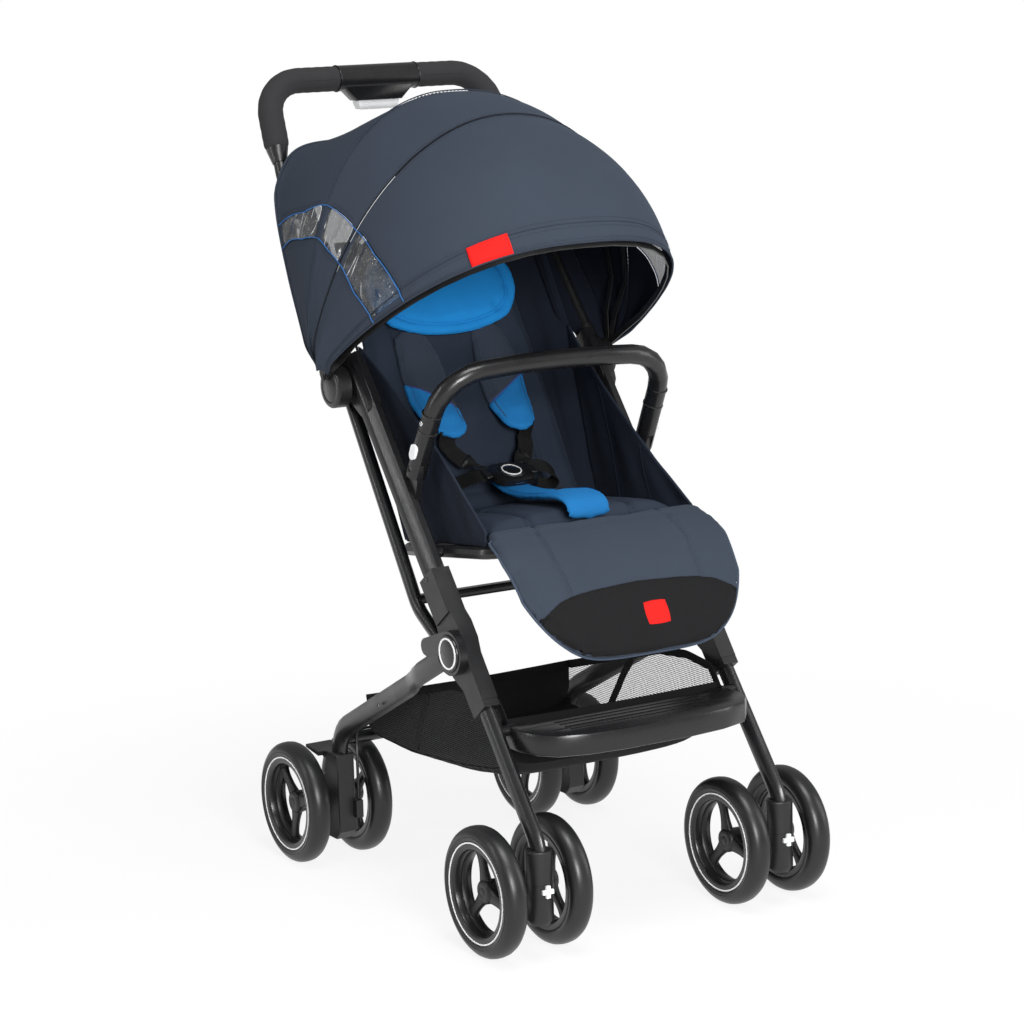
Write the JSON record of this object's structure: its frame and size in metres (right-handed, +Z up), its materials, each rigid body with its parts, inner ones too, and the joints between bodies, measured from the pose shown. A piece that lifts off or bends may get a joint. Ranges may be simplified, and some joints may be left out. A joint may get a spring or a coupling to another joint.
{
  "type": "compact folding stroller",
  "caption": "Folding child stroller with a hooped canopy, padded reclining seat, bumper bar, swivelling twin casters and a storage basket",
  "frame": {"origin": "on the ground under the middle of the whole stroller", "axes": "+Z up, the child faces -Y, +X is the left of the person who pushes"},
  "size_m": [0.477, 0.697, 1.0306],
  "materials": {
    "frame_black": "satin black powder coat on aluminium tube",
    "plastic_black": "satin black moulded plastic",
    "foam_black": "matte charcoal foam",
    "rubber_black": "matte black soft tyre on a black rim with a pale ring",
    "white_plastic": "pale smooth plastic",
    "slate_cloth": "plain weave, slate blue",
    "navy_cloth": "plain weave, very dark navy",
    "blue_cloth": "plain weave, bright blue",
    "mesh_black": "black knitted mesh",
    "webbing_black": "ribbed black webbing"
  },
  "bodies": {
    "main_frame": {"front_leg_left": "frame_black", "front_housing_left": "plastic_black", "mid_tube_left": "frame_black", "hub_housing_left": "plastic_black", "seat_wing_left": "navy_cloth", "front_leg_right": "frame_black", "front_housing_right": "plastic_black", "mid_tube_right": "frame_black", "hub_housing_right": "plastic_black", "seat_wing_right": "navy_cloth", "footrest": "plastic_black", "seat_frame": "frame_black", "seat_cushion": "navy_cloth", "basket": "mesh_black", "crotch_pad": "blue_cloth", "buckle": "plastic_black", "harness_webbing": "webbing_black"},
    "buckle_release": {"buckle_button": "plastic_black"},
    "caster_left": {"caster_yoke_left": "plastic_black"},
    "lock_left": {"caster_lock_left": "white_plastic"},
    "front_wheel_left_outer": {"front_wheel_left_outer": "rubber_black"},
    "rear_wheel_left_outer": {"rear_wheel_left_outer": "rubber_black"},
    "front_wheel_left_inner": {"front_wheel_left_inner": "rubber_black"},
    "rear_wheel_left_inner": {"rear_wheel_left_inner": "rubber_black"},
    "rear_frame": {"rear_leg_left": "frame_black", "rear_housing_left": "plastic_black", "rear_leg_right": "frame_black", "rear_housing_right": "plastic_black", "rear_cross_tube": "frame_black", "brake_cable": "plastic_black"},
    "caster_right": {"caster_yoke_right": "plastic_black"},
    "lock_right": {"caster_lock_right": "white_plastic"},
    "front_wheel_right_outer": {"front_wheel_right_outer": "rubber_black"},
    "rear_wheel_right_outer": {"rear_wheel_right_outer": "rubber_black"},
    "front_wheel_right_inner": {"front_wheel_right_inner": "rubber_black"},
    "rear_wheel_right_inner": {"rear_wheel_right_inner": "rubber_black"},
    "brake": {"brake_pedal": "plastic_black"},
    "link_frame_body": {"link_frame": "frame_black"},
    "handle_frame": {"handle_tube": "frame_black", "handle_hub": "plastic_black", "handle_grip_left": "foam_black", "elbow_disc_left": "plastic_black", "handle_grip_right": "foam_black", "elbow_disc_right": "plastic_black", "canopy_rear_panel": "navy_cloth"},
    "fold_release": {"handle_button": "white_plastic"},
    "canopy_front": {"canopy_front_bow": "plastic_black", "canopy_front_panel": "slate_cloth"},
    "canopy_rear": {"canopy_rear_bow": "plastic_black", "canopy_mid_panel": "slate_cloth"},
    "canopy_middle": {"canopy_mid_bow": "plastic_black"},
    "bumper": {"bumper_bar": "plastic_black"},
    "bumper_release_left": {"bumper_button_left": "white_plastic"},
    "bumper_release_right": {"bumper_button_right": "white_plastic"},
    "back": {"backrest": "navy_cloth", "headrest": "blue_cloth", "shoulder_pad_left": "slate_cloth", "shoulder_pad_right": "slate_cloth"},
    "calf": {"calf_rest": "slate_cloth"}
  },
  "joints": [
    {"name": "fold", "type": "hinge", "parent": "main_frame", "child": "rear_frame", "pos_m": [0, -0.15655, 0.345], "axis": [-1, 0, 0], "range_deg": [0, 75]},
    {"name": "handle_fold", "type": "hinge", "parent": "main_frame", "child": "handle_frame", "pos_m": [0, 0.10145, 0.641], "axis": [-1, 0, 0], "range_deg": [0, 125]},
    {"name": "link_fold", "type": "hinge", "parent": "rear_frame", "child": "link_frame_body", "pos_m": [0, -0.10058, 0.34305], "axis": [1, 0, 0], "range_deg": [0, 75]},
    {"name": "canopy_front_swing", "type": "hinge", "parent": "handle_frame", "child": "canopy_front", "pos_m": [0, 0.10445, 0.656], "axis": [-1, 0, 0], "range_deg": [0, 70], "deforming": ["canopy_front_panel"]},
    {"name": "canopy_middle_swing", "type": "hinge", "parent": "handle_frame", "child": "canopy_middle", "pos_m": [0, 0.10445, 0.656], "axis": [-1, 0, 0], "range_deg": [0, 38]},
    {"name": "canopy_rear_swing", "type": "hinge", "parent": "handle_frame", "child": "canopy_rear", "pos_m": [0, 0.10445, 0.656], "axis": [-1, 0, 0], "range_deg": [0, 26], "deforming": ["canopy_mid_panel", "canopy_rear_panel"]},
    {"name": "bumper_swing", "type": "hinge", "parent": "main_frame", "child": "bumper", "pos_m": [0, -0.04504, 0.5546], "axis": [1, 0, 0], "range_deg": [0, 70]},
    {"name": "bumper_release_left", "type": "slide", "parent": "bumper", "child": "bumper_release_left", "axis": [-1, 0, 0], "range_m": [0, 0.0025], "stiffness_N_per_m": 400},
    {"name": "bumper_release_right", "type": "slide", "parent": "bumper", "child": "bumper_release_right", "axis": [1, 0, 0], "range_m": [0, 0.0025], "stiffness_N_per_m": 400},
    {"name": "fold_release", "type": "slide", "parent": "handle_frame", "child": "fold_release", "axis": [0, 0, 1], "range_m": [0, 0.003], "stiffness_N_per_m": 500},
    {"name": "buckle_release", "type": "slide", "parent": "main_frame", "child": "buckle_release", "axis": [0, 0.342, -0.9397], "range_m": [0, 0.0015], "stiffness_N_per_m": 400},
    {"name": "brake_pedal", "type": "hinge", "parent": "rear_frame", "child": "brake", "pos_m": [-0.1785, 0.18895, 0.144], "axis": [-1, 0, 0], "range_deg": [0, 14]},
    {"name": "recline", "type": "hinge", "parent": "main_frame", "child": "back", "pos_m": [0, 0.03145, 0.438], "axis": [1, 0, 0], "range_deg": [-38, 0], "deforming": ["harness_webbing"]},
    {"name": "calf_swing", "type": "hinge", "parent": "main_frame", "child": "calf", "pos_m": [0, -0.18255, 0.466], "axis": [1, 0, 0], "range_deg": [-40, 0]},
    {"name": "swivel_left", "type": "hinge", "parent": "main_frame", "child": "caster_left", "pos_m": [0.1755, -0.31655, 0.0952], "axis": [0, 0, 1], "continuous": true},
    {"name": "lock_left", "type": "slide", "parent": "main_frame", "child": "lock_left", "axis": [0, 0, 1], "range_m": [-0.005, 0]},
    {"name": "swivel_right", "type": "hinge", "parent": "main_frame", "child": "caster_right", "pos_m": [-0.1755, -0.31655, 0.0952], "axis": [0, 0, 1], "continuous": true},
    {"name": "lock_right", "type": "slide", "parent": "main_frame", "child": "lock_right", "axis": [0, 0, 1], "range_m": [-0.005, 0]},
    {"name": "spin_front_wheel_left_outer", "type": "hinge", "parent": "caster_left", "child": "front_wheel_left_outer", "pos_m": [0.221, -0.26855, 0.08], "axis": [1, 0, 0], "continuous": true},
    {"name": "spin_rear_wheel_left_outer", "type": "hinge", "parent": "rear_frame", "child": "rear_wheel_left_outer", "pos_m": [0.224, 0.20945, 0.08], "axis": [1, 0, 0], "continuous": true},
    {"name": "spin_front_wheel_left_inner", "type": "hinge", "parent": "caster_left", "child": "front_wheel_left_inner", "pos_m": [0.13, -0.26855, 0.08], "axis": [1, 0, 0], "continuous": true},
    {"name": "spin_rear_wheel_left_inner", "type": "hinge", "parent": "rear_frame", "child": "rear_wheel_left_inner", "pos_m": [0.133, 0.20945, 0.08], "axis": [1, 0, 0], "continuous": true},
    {"name": "spin_front_wheel_right_outer", "type": "hinge", "parent": "caster_right", "child": "front_wheel_right_outer", "pos_m": [-0.221, -0.26855, 0.08], "axis": [1, 0, 0], "continuous": true},
    {"name": "spin_rear_wheel_right_outer", "type": "hinge", "parent": "rear_frame", "child": "rear_wheel_right_outer", "pos_m": [-0.224, 0.20945, 0.08], "axis": [1, 0, 0], "continuous": true},
    {"name": "spin_front_wheel_right_inner", "type": "hinge", "parent": "caster_right", "child": "front_wheel_right_inner", "pos_m": [-0.13, -0.26855, 0.08], "axis": [1, 0, 0], "continuous": true},
    {"name": "spin_rear_wheel_right_inner", "type": "hinge", "parent": "rear_frame", "child": "rear_wheel_right_inner", "pos_m": [-0.133, 0.20945, 0.08], "axis": [1, 0, 0], "continuous": true}
  ],
  "couplings": [
    {"joint": "handle_fold", "follows": "fold", "ratio": 1.6667},
    {"joint": "link_fold", "follows": "fold", "ratio": 1},
    {"joint": "canopy_middle_swing", "follows": "canopy_front_swing", "ratio": 0.54286},
    {"joint": "canopy_rear_swing", "follows": "canopy_front_swing", "ratio": 0.37143}
  ]
}
